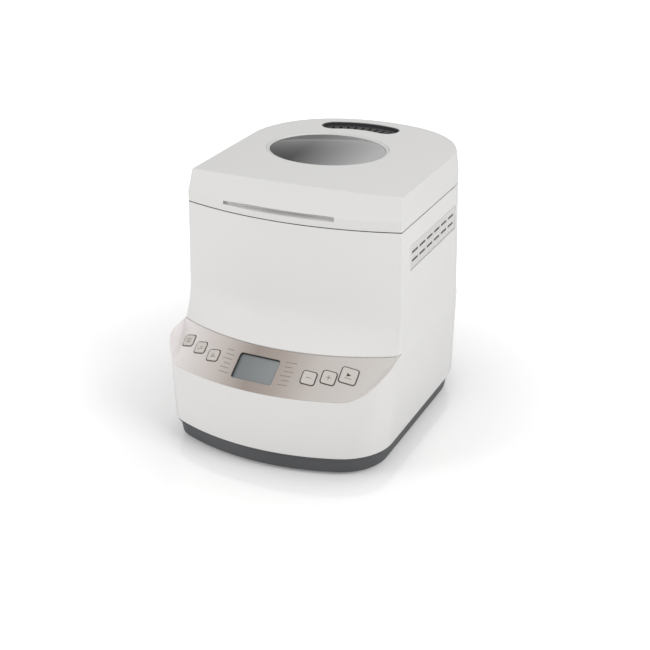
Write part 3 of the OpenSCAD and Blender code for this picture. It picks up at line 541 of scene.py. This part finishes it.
def sweep(share):
    """A level of the concave sweep: share 0 at the panel, 1 where the face stands upright."""
    k = (1 - share) ** 2.2
    return level(ledge_high + riser + curl * share, mix(half_width + draft, ledge_half - 0.4, k),
                 mix(face_y, panel_back_y, k), mix(front_bow, front_bow + 15, k),
                 mix(5, 10, k), mix(5, 16, k))


def front_in(base, amount, **new):
    return changed(base, front=base["front"] + amount, **new)


sweep_shares = [0, 0.03, 0.07, 0.12, 0.18, 0.26, 0.36, 0.48, 0.62, 0.8, 1]
outer = [inset(base_level, 1.5, z=body_z), inset(base_level, 0.4, z=body_z + 0.8), base_level]
outer += [changed(edge_level, z=ledge_low - step - 0.8), front_in(edge_level, 0.35, z=ledge_low - step)]
outer += [front_in(edge_level, panel_seat), front_in(shelf_level, panel_seat)]
outer += [front_in(shelf_level, 0.5, z=ledge_high + 0.1)]
outer += [sweep(share) for share in sweep_shares]
outer += [changed(seam_level, z=seam_z - 0.6), inset(seam_level, 0.45, z=seam_z - 0.15)]
inner = [inset(seam_level, wall, z=seam_z - 0.15)]
inner += [inset(sweep(share), wall) for share in (1, 0.62, 0.36, 0.18, 0)]
# The inner surface climbs half as much as the outer one, to stay behind the panel at both corners
inner_edge = level(ledge_low, ledge_half, front_y, ledge_bow, 32, 62, rise=climb / 2)
inner += [inset(front_in(shelf_level, wall + 1.5), wall), inset(front_in(inner_edge, wall + 1.5), wall)]
inner += [inset(base_level, wall + 1.5, z=body_z)]
housing = skin("housing_shell", [loop(lv) for lv in outer + inner], True)

# %% [markdown]
# ## A place on the panel
# Keys, display and print sit square on the sloping panel. Its surface runs from the front edge to
# the back edge of the ledge, so a place on it is a distance along the front and a share of the
# slope. The local frame has Z out of the panel, X down the slope and Y along it.

# %% Frames on the panel
edge_points = [p / MM for p in loop(edge_level)]
shelf_points = [p / MM for p in loop(shelf_level)]


def along(points, u):
    i = int(math.floor(u))
    return points[i].lerp(points[min(i + 1, len(points) - 1)], u - i)


def panel_point(u, share):
    return along(edge_points, u).lerp(along(shelf_points, u), share)


def panel_frame(x, share):
    """Matrix in metres of the panel's local frame at sideways place x (mm) and share of the slope."""
    low, high = LEFT_START + 1.0, FRONT_LAST - 1.0
    for _ in range(40):
        middle = (low + high) / 2
        if panel_point(middle, share).x < x:
            low = middle
        else:
            high = middle
    origin = panel_point(low, share)
    tangent = panel_point(low + 1, share) - panel_point(low - 1, share)
    normal = tangent.cross(along(shelf_points, low) - along(edge_points, low)).normalized()
    side = Vector((0, 0, 1)).cross(normal).normalized()
    down = side.cross(normal).normalized()
    turn = Matrix((down, side, normal)).transposed().to_4x4()
    return Matrix.Translation(origin * MM) @ turn


def square_frame(x, share):
    """The same frame turned so that a key's sides run parallel to the machine's, seen from above."""
    here = panel_frame(x, share)
    n = here.to_3x3() @ Vector((0, 0, 1))
    flat = math.hypot(n.x, n.y)
    return here @ Matrix.Rotation(math.atan2(-n.z * n.x / flat, -n.y / flat), 4, "Z")


display_x = -13
display_share = 0.5
display_w = 50
display_h = 32
key_w = 13.5
start_w = 18
# Each key: place across the machine, share of the slope, width
keys = {
    "button_menu": (-112, 0.60, key_w),
    "button_size": (-92, 0.57, key_w),
    "button_crust": (-71, 0.52, key_w),
    "button_minus": (50, 0.48, key_w + 1.5),
    "button_plus": (71, 0.52, key_w + 1.5),
    "button_start": (91, 0.58, start_w),
}
for name, (x, share, _) in keys.items():
    off = (panel_frame(x, share).translation / MM - (sum(box_mm(name), Vector()) / 2)).length
    print(name, "frame is", round(off, 1), "mm from its engineered middle")

# %% Cut the housing
low_g, high_g = box_mm("side_vent_grille")
hinge_low, hinge_high = box_mm("hinge_pin_right")
hinge_y = (hinge_low.y + hinge_high.y) / 2
back_radius = bow_radius(half_width, 60)
notch_half = math.sqrt(back_radius ** 2 - (hinge_y - (back_y - back_radius)) ** 2) + 5
notch_y = hinge_y - 10
notch_z = seam_z - 24


def block(name, low, high):
    """A plain cutting block between two corners, in millimetres."""
    size = Vector(high) - Vector(low)
    corners = ((low[0], low[1]), (high[0], low[1]), (high[0], high[1]), (low[0], high[1]))
    shape = [(x * MM, y * MM) for x, y in corners]
    return prism(name, shape, size.z * MM, Matrix.Translation((0, 0, low[2] * MM)))


def panel_cutter(name, x, share, width, height, radius, depth, above=4, frame_at=panel_frame):
    shape = [(a * MM, b * MM) for a, b in rounded_rectangle(height, width, radius)]
    sunk = Matrix.Translation((0, 0, -depth * MM))
    return prism(name, shape, (depth + above) * MM, frame_at(x, share) @ sunk)


groove = 0.8
backing_play = 0.05
cut(housing, [
    block("cut_grille", (half_width - 8, low_g.y - groove, low_g.z - groove),
          (half_width + 8, high_g.y + groove, high_g.z + groove)),
    block("cut_notch", (-notch_half, notch_y, notch_z), (notch_half, back_y + 20, seam_z + 20)),
    panel_cutter("cut_display", display_x, display_share, display_w + 0.4, display_h + 0.4, 3, 14),
])
shade(housing, 28)
place_piece(housing, "base", "white", white_abs, "housing")

# A dark plate stands in the slots and the groove round the grille as painted shade, so that both read
# dark
margin = groove - backing_play
grille_shade_plate = block("grille_painted_shade_plate", (high_g.x - 1.3, low_g.y - margin, low_g.z - margin),
                (high_g.x - 0.7, high_g.y + margin, high_g.z + margin))
place_piece(grille_shade_plate, "base", "vent_grey", vent_plastic)

# %% [markdown]
# ## The control panel
# The panel is a thin lacquered band let into the ledge, flush with the housing round it. We take
# the same two outlines, keep the front stretch and give it thickness.

# %% Panel band
first_u = LEFT_START + 2
last_u = FRONT_LAST - 2
rows = 6
bm = bmesh.new()
grid = []
for k in range(rows + 1):
    share = k / rows
    grid.append([bm.verts.new(panel_point(u, share) * MM) for u in range(first_u, last_u + 1)])
rails = [[bm.edges.new(pair) for pair in zip(row, row[1:])] for row in grid]
for lower, upper in zip(rails, rails[1:]):
    bmesh.ops.bridge_loops(bm, edges=lower + upper)
bmesh.ops.recalc_face_normals(bm, faces=bm.faces)
face_out = sum((f.normal for f in bm.faces), Vector())
if face_out.z < 0:
    bmesh.ops.reverse_faces(bm, faces=bm.faces)
panel = new_piece("panel_band", bm)
thick = panel.modifiers.new("thickness", "SOLIDIFY")
thick.thickness = 1.35 * MM
thick.offset = -1.0
bake_modifiers(panel)
# The band runs out to a thin end at each corner; its thickness stays inside the ledge there
for vert in panel.data.vertices:
    vert.co.x = max(-(ledge_half - 0.3) * MM, min((ledge_half - 0.3) * MM, vert.co.x))
cutters = [panel_cutter("cut_display", display_x, display_share, display_w + 0.4, display_h + 0.4, 3, 6)]
for name, (x, share, width) in keys.items():
    hole = width + 0.6
    cutters.append(panel_cutter("cut_" + name, x, share, hole, hole, 2.8, 5, frame_at=square_frame))
cut(panel, cutters)
shade(panel, 30)
place_piece(panel, "base", "panel", champagne, "control_panel")

# %% [markdown]
# ## Keys, outlines and print
# Each key is a pearl cap with a soft edge. A thin dark line is printed round every key, and rows
# of short bars stand for the programme list beside the display. The marks on the keys are plain
# signs: lines for the menu, a small and a large bar for the size, a triangle for start.

# %% Keys
def panel_plate(name, outline_mm, x, share, low, high, frame_at=panel_frame):
    """A plate on the panel between two heights above its surface, in millimetres."""
    shape = [(a * MM, b * MM) for a, b in outline_mm]
    raised = Matrix.Translation((0, 0, low * MM))
    return prism(name, shape, (high - low) * MM, frame_at(x, share) @ raised)


def key_plate(name, outline_mm, x, share, low, high):
    """The same plate, square to the machine."""
    return panel_plate(name, outline_mm, x, share, low, high, square_frame)


def ring_plate(name, width, x, share, line, low, high):
    """A rounded square line of the given width round a key."""
    full = width + 2 * line
    outer_ring = key_plate(name, rounded_rectangle(full, full, 3.6), x, share, low, high)
    inside = rounded_rectangle(width, width, 2.8)
    cut(outer_ring, [key_plate("cut_ring", inside, x, share, low - 1, high + 1)])
    return outer_ring


for name, (x, share, width) in keys.items():
    cap = key_plate(name + "_cap", rounded_rectangle(width, width, 2.5), x, share, -0.5, 1.1)
    round_edges(cap, 0.45)
    shade(cap)
    place_piece(cap, name + "_key", "button", key_plastic, name)
    line = ring_plate(name + "_outline", width + 0.6, x, share, 0.95, -0.25, 0.06)
    place_piece(line, "base", "panel", key_line)

# %% Marks on the keys and print beside the display
bar_h = 0.55
mark_low = 1.05
mark_high = 1.14
marks = {
    "button_menu": [(-2.2, 0, 6.5), (0, 0, 6.5), (2.2, 0, 6.5)],
    "button_size": [(1.8, -2.2, 2.2), (1.8, 1.8, 4.2), (-0.6, 1.8, 4.2)],
    "button_crust": [(2.0, 0, 6.5), (0.4, 0, 4.8), (-1.2, 0, 3.0)],
    "button_minus": [(0, 0, 6.0)],
    "button_plus": [(0, 0, 6.0)],
    "button_start": [(3.4, 0, 8.0)],
}


def shifted(points, dx, dy):
    return [(x + dx, y + dy) for x, y in points]


for name, bars in marks.items():
    x, share, width = keys[name]
    for k, (down, side, length) in enumerate(bars):
        shape = shifted(rounded_rectangle(bar_h, length, 0.2, 2), down, side)
        bar = key_plate(f"{name}_mark_{k}", shape, x, share, mark_low, mark_high)
        place_piece(bar, name + "_key", "button", key_line)
plus_x, plus_share, _ = keys["button_plus"]
plus_bar = rounded_rectangle(6.0, bar_h, 0.2, 2)
upright = key_plate("button_plus_mark_up", plus_bar, plus_x, plus_share, mark_low, mark_high)
place_piece(upright, "button_plus_key", "button", key_line)
start_x, start_share, _ = keys["button_start"]
triangle = [(-3.0, -2.4), (1.6, -2.4), (-0.7, 2.6)]
arrow = key_plate("button_start_arrow", triangle, start_x, start_share, mark_low, mark_high)
place_piece(arrow, "button_start_key", "button", key_line)

print_bars = []
for k in range(6):
    print_bars.append((-50 - (k % 2) * 1.5, 0.26 + k * 0.1, 13 - (k % 3) * 2))
    print_bars.append((24 + (k % 2) * 1.5, 0.26 + k * 0.1, 13 - ((k + 1) % 3) * 2))
for k, (x, share, length) in enumerate(print_bars):
    bar = panel_plate(f"print_bar_{k}", rounded_rectangle(0.7, length, 0.2, 2), x, share, -0.2, 0.05)
    place_piece(bar, "base", "panel", print_grey)

# A dark plate along the display's upper and left sides is the painted shadow of its recess
shadow_width = 1.0
display_shadow_outline = rounded_rectangle(display_h + 0.2, display_w + 0.2, 3)
display_shadow_plate = panel_plate("display_recess_shadow", display_shadow_outline, display_x, display_share, -1.8, 0.05)
opening = shifted(rounded_rectangle(display_h + 0.2, display_w + 0.2, 2.4), shadow_width, shadow_width)
cut(display_shadow_plate, [panel_plate("cut_display_shadow", opening, display_x, display_share, -3, 3)])
place_piece(display_shadow_plate, "base", "lcd", display_recess_shadow)

# %% [markdown]
# ## The lid
# The lid is a shallow white dish. Its sides stand upright for 12 mm, then lean in to a flat top;
# the front leans back much further. The window, the steam vent and the finger lip are cut out
# of it, and its edges carry a small radius, because a moulded lid has no sharp corner.

# %% Lid levels
lid_z = lid_low_corner.z
lip_z = seam_z + 12
lean = 2.3
lid_low = level(lid_z, half_width, face_y, front_bow, 2, 2)
lid_mid = changed(lid_low, z=lip_z)
lid_edge = level(lid_top_z - 1.2, half_width - lean, face_y + 23.5, 4, 3, 3, back_y - 3)
lid_top = level(lid_top_z, half_width - lean - 1.2, face_y + 24.7, 4, 2.5, 2.5, back_y - 4.2)


def blend_levels(a, b, share, **new):
    return {**{key: mix(a[key], b[key], share) for key in a}, **new}


lid_outer = [inset(lid_low, 0.4, z=lid_z + 0.1), changed(lid_low, z=lid_z + 0.5)]
lid_outer += [changed(lid_low, z=lip_z - 1.0)]
lid_outer += [blend_levels(lid_mid, lid_edge, share) for share in (0.015, 0.06, 0.3, 0.6, 0.96)]
lid_outer += [blend_levels(lid_edge, lid_top, 0.4, z=lid_top_z - 0.4), lid_top, inset(lid_top, 3)]
lid = skin("lid_cover", [loop(lv) for lv in lid_outer], False)
lid_inner = [inset(lid_top, wall + 1, z=lid_top_z - wall), inset(lid_mid, wall), inset(lid_low, wall)]
lid_inner += [inset(lid_low, wall, z=lid_z - 6)]
hollow = skin("lid_hollow", [loop(lv) for lv in lid_inner], False)

# %% Cut the lid
ring_low, ring_high = box_mm("window_ring")
pan_x = (ring_low.x + ring_high.x) / 2
window_y = (ring_low.y + ring_high.y) / 2
window_rx = (ring_high.x - ring_low.x) / 2
window_ry = (ring_high.y - ring_low.y) / 2
vent_x = pan_x + 8
vent_y = window_y + 7
vent_tilt = math.radians(4)
vent_r = 95
vent_turn = math.radians(21)
vent_half = 15.5


def ellipse(rx, ry, z=None, count=128):
    points = []
    for i in range(count):
        angle = 2 * math.pi * i / count
        flat = (pan_x + rx * math.cos(angle), window_y + ry * math.sin(angle))
        points.append(Vector((*flat, z)) * MM if z is not None else (flat[0] * MM, flat[1] * MM))
    return points


def vent_outline(grow):
    """The kidney-shaped outline of the steam vent, in metres."""
    reach = vent_half + grow
    first = math.pi / 2 + vent_tilt - vent_turn
    last = math.pi / 2 + vent_tilt + vent_turn
    right = (vent_x + vent_r * math.cos(first), vent_y + vent_r * math.sin(first))
    left = (vent_x + vent_r * math.cos(last), vent_y + vent_r * math.sin(last))
    points = arc_points(vent_x, vent_y, vent_r + reach, first, last, 32, (0, 0))
    points += arc_points(*left, reach, last, last + math.pi, 20, (0, 0))[1:-1]
    points += arc_points(vent_x, vent_y, vent_r - reach, last, first, 24, (0, 0))
    points += arc_points(*right, reach, first - math.pi, first, 20, (0, 0))[1:-1]
    return [(x * MM, y * MM) for x, y, _ in points]


handle_low, handle_high = box_mm("lid_handle")
cut_z = Matrix.Translation((0, 0, (lid_top_z - 8) * MM))
# The lid stays solid behind the finger lip: the block is taken out of the hollow
grip_room = block("grip_room", (handle_low.x, face_y - 20, lid_z - 10),
                  (handle_high.x, handle_high.y, handle_high.z + 8))
cut(hollow, [grip_room])
scoop_x = -78
scoop_w = 136
scoop_z = lid_z + 7.5
scoop_side = [(-20, 0), (11.5, 0), (11.5, 2.5), (4, 5.5), (-20, 5.5)]
stand = Matrix(((0, 0, 1, scoop_x * MM), (1, 0, 0, face_y * MM), (0, 1, 0, scoop_z * MM), (0, 0, 0, 1)))
cut(lid, [
    hollow,
    prism("cut_scoop", [(y * MM, z * MM) for y, z in scoop_side], scoop_w * MM, stand),
    prism("cut_window", ellipse(window_rx + 0.2, window_ry + 0.2), 20 * MM, cut_z),
    prism("cut_vent", vent_outline(0.2), 20 * MM, cut_z),
])
shade(lid, 28)
place_piece(lid, "lid", "lid_white", white_abs_lid, "lid_shell", "lid_handle")

# %% Dark strip in the seam, painted shade
# A dark strip just inside the seam is painted shade that darkens the gap between lid and housing
seam_shade_rings = [inset(seam_level, 0.3, z=seam_z - 0.1), inset(seam_level, 0.3, z=lid_z + 0.05)]
seam_shade_rings += [inset(seam_level, 2.2, z=lid_z + 0.05), inset(seam_level, 2.2, z=seam_z - 0.1)]
seam_shade_strip = skin("seam_painted_shade_strip", [loop(lv) for lv in seam_shade_rings], True)
shade(seam_shade_strip)
place_piece(seam_shade_strip, "base", "seal", rubber)

# %% Window ring and glass
glass_low, glass_high = box_mm("window_glass")
glass_rx = (glass_high.x - glass_low.x) / 2
glass_ry = (glass_high.y - glass_low.y) / 2
glass_z = glass_low.z
ring_rings = [
    (window_rx, glass_z - 1), (window_rx, lid_top_z - 0.3),
    (window_rx - 0.3, lid_top_z), (window_rx - 1.0, lid_top_z),
    (glass_rx + 1.2, glass_z + 2.6), (glass_rx + 0.2, glass_z + 2.3),
    (glass_rx + 0.2, glass_z), (glass_rx - 3, glass_z), (glass_rx - 3, glass_z - 1),
]
depth_less = window_rx - window_ry
window_ring = skin("window_frame", [ellipse(r, r - depth_less, z) for r, z in ring_rings], True)
shade(window_ring)
place_piece(window_ring, "lid", "ring", ring_plastic, "window_ring")
glass_place = Matrix.Translation((0, 0, glass_z * MM))
glass = prism("window_pane", ellipse(glass_rx, glass_ry), 2 * MM, glass_place)
round_edges(glass, 0.3, 2)
shade(glass)
place_piece(glass, "lid", "window", window_glass, "window_glass")

# %% [markdown]
# ## The base tray
# The tray is a dark dish under the housing. It draws in towards the table, which makes the shadow
# line round the foot of the machine, and its lip stands inside the white housing.

# %% Base tray
tray_z = box_mm("base_tray")[0].z
tray_top = level(body_z - 2, low_half - 4, front_y + 4.5, ledge_bow - 2, 34, 60, back_y - 3.5)
tray_levels = [inset(tray_top, 4, z=tray_z), inset(tray_top, 3.1, z=tray_z + 0.4)]
tray_levels += [inset(tray_top, 2.5, z=tray_z + 1.4), tray_top]
tray_levels += [inset(tray_top, -2.3, z=body_z - 1.5), inset(tray_top, -2.3, z=body_z)]
tray_levels += [inset(base_level, wall + 1.8, z=body_z), inset(base_level, wall + 1.8, z=body_z + 5)]
tray_levels += [inset(base_level, 2 * wall + 1.5, z=body_z + 5), inset(tray_top, 5.5, z=tray_z + wall)]
tray = skin("tray_shell", [loop(lv) for lv in tray_levels], False)
slot_half_w = 2.5
slot_half_l = 25
slot_x = [pan_x + k * 12 for k in range(-3, 4)]
cut(tray, [block("cut_tray_slot", (x - slot_half_w, window_y - slot_half_l, tray_z - 3),
                 (x + slot_half_w, window_y + slot_half_l, tray_z + 6)) for x in slot_x])
shade(tray, 30)
place_piece(tray, "base", "base_grey", grey_pp, "base_tray")

# %% [markdown]
# ## Stage, light and camera
# A white floor keeps only the soft shadow and a faint reflection. Two broad soft boxes and the
# white surroundings light the object evenly, at a level where a colour renders as written.

# %% Floor
floor_half = 6
bm = bmesh.new()
bmesh.ops.create_grid(bm, x_segments=1, y_segments=1, size=floor_half)
floor = new_piece("studio_floor", bm)
floor_paint, floor_tree, floor_shader = new_material("white_studio_floor")
floor_shader.inputs["Base Color"].default_value = linear("f4f4f4")
floor_shader.inputs["Roughness"].default_value = 0.1
floor_shader.inputs["IOR"].default_value = 1.7
ray = node(floor_tree, "ShaderNodeLightPath")
glow = node(floor_tree, "ShaderNodeEmission", {"Color": (1, 1, 1, 1)})
# The glow grows away from the machine, so that its shadow and mirror image stay near it
floor_place = node(floor_tree, "ShaderNodeTexCoord").outputs["Object"]
far = node(floor_tree, "ShaderNodeVectorMath", {0: floor_place}, operation="LENGTH")
rising = node(floor_tree, "ShaderNodeMapRange", {"Value": far.outputs["Value"], "From Min": 0.2,
                                                 "From Max": 0.6, "To Min": 0.16, "To Max": 0.6})
lift = node(floor_tree, "ShaderNodeMath",
            {0: ray.outputs["Is Camera Ray"], 1: rising.outputs["Result"]}, operation="MULTIPLY")
floor_tree.links.new(lift.outputs["Value"], glow.inputs["Strength"])
both = node(floor_tree, "ShaderNodeAddShader",
            {0: floor_shader.outputs["BSDF"], 1: glow.outputs["Emission"]})
floor_out = [n for n in floor_tree.nodes if n.type == "OUTPUT_MATERIAL"][0]
floor_tree.links.new(both.outputs["Shader"], floor_out.inputs["Surface"])
floor.data.materials.append(floor_paint)

# %% Surroundings
world = bpy.data.worlds.new("white_studio")
bpy.context.scene.world = world
world.use_nodes = True
world_tree = world.node_tree
world_tree.nodes.clear()
path = node(world_tree, "ShaderNodeLightPath")
seen = node(world_tree, "ShaderNodeMath",
            {0: path.outputs["Is Camera Ray"], 1: path.outputs["Is Transmission Ray"]},
            operation="MAXIMUM")
ambient = 0.55
strength = node(world_tree, "ShaderNodeMapRange",
                {"Value": seen.outputs["Value"], "To Min": ambient, "To Max": 1.0})
sky = node(world_tree, "ShaderNodeBackground",
           {"Color": (1, 1, 1, 1), "Strength": strength.outputs["Result"]})
world_out = node(world_tree, "ShaderNodeOutputWorld")
world_tree.links.new(sky.outputs["Background"], world_out.inputs["Surface"])


# %% Soft boxes
def soft_box(name, place, target, size, power):
    """A square area lamp that faces the target."""
    lamp = bpy.data.lights.new(name, "AREA")
    lamp.shape = "RECTANGLE"
    lamp.size, lamp.size_y = size
    lamp.energy = power
    holder = bpy.data.objects.new(name, lamp)
    holder.location = place
    holder.rotation_euler = (Vector(target) - Vector(place)).to_track_quat("-Z", "Y").to_euler()
    bpy.context.scene.collection.objects.link(holder)
    return holder


centre = (0, 0, 0.15)
key = soft_box("key_right", (1.9, -0.6, 1.5), centre, (1.2, 1.2), 22)
key.visible_glossy = False
fill = soft_box("fill_left", (-1.7, -1.5, 0.7), centre, (0.9, 1.4), 18)
fill.visible_glossy = False
soft_box("top_back", (0.2, 1.2, 1.9), centre, (1.6, 0.8), 5)

# %% Camera
view_azimuth = math.radians(24.01)
view_elevation = math.radians(24.29)
camera_data = bpy.data.cameras.new("camera")
camera_data.sensor_width = 36
camera_data.lens = 77.23
camera_data.shift_y = -0.0011
camera = bpy.data.objects.new("camera", camera_data)
camera.location = Vector((622.0, -1397.7, 793.2)) * MM
camera.rotation_euler = (math.pi / 2 - view_elevation, 0, view_azimuth)
bpy.context.scene.collection.objects.link(camera)
bpy.context.scene.camera = camera
bpy.context.scene.view_settings.view_transform = "Standard"
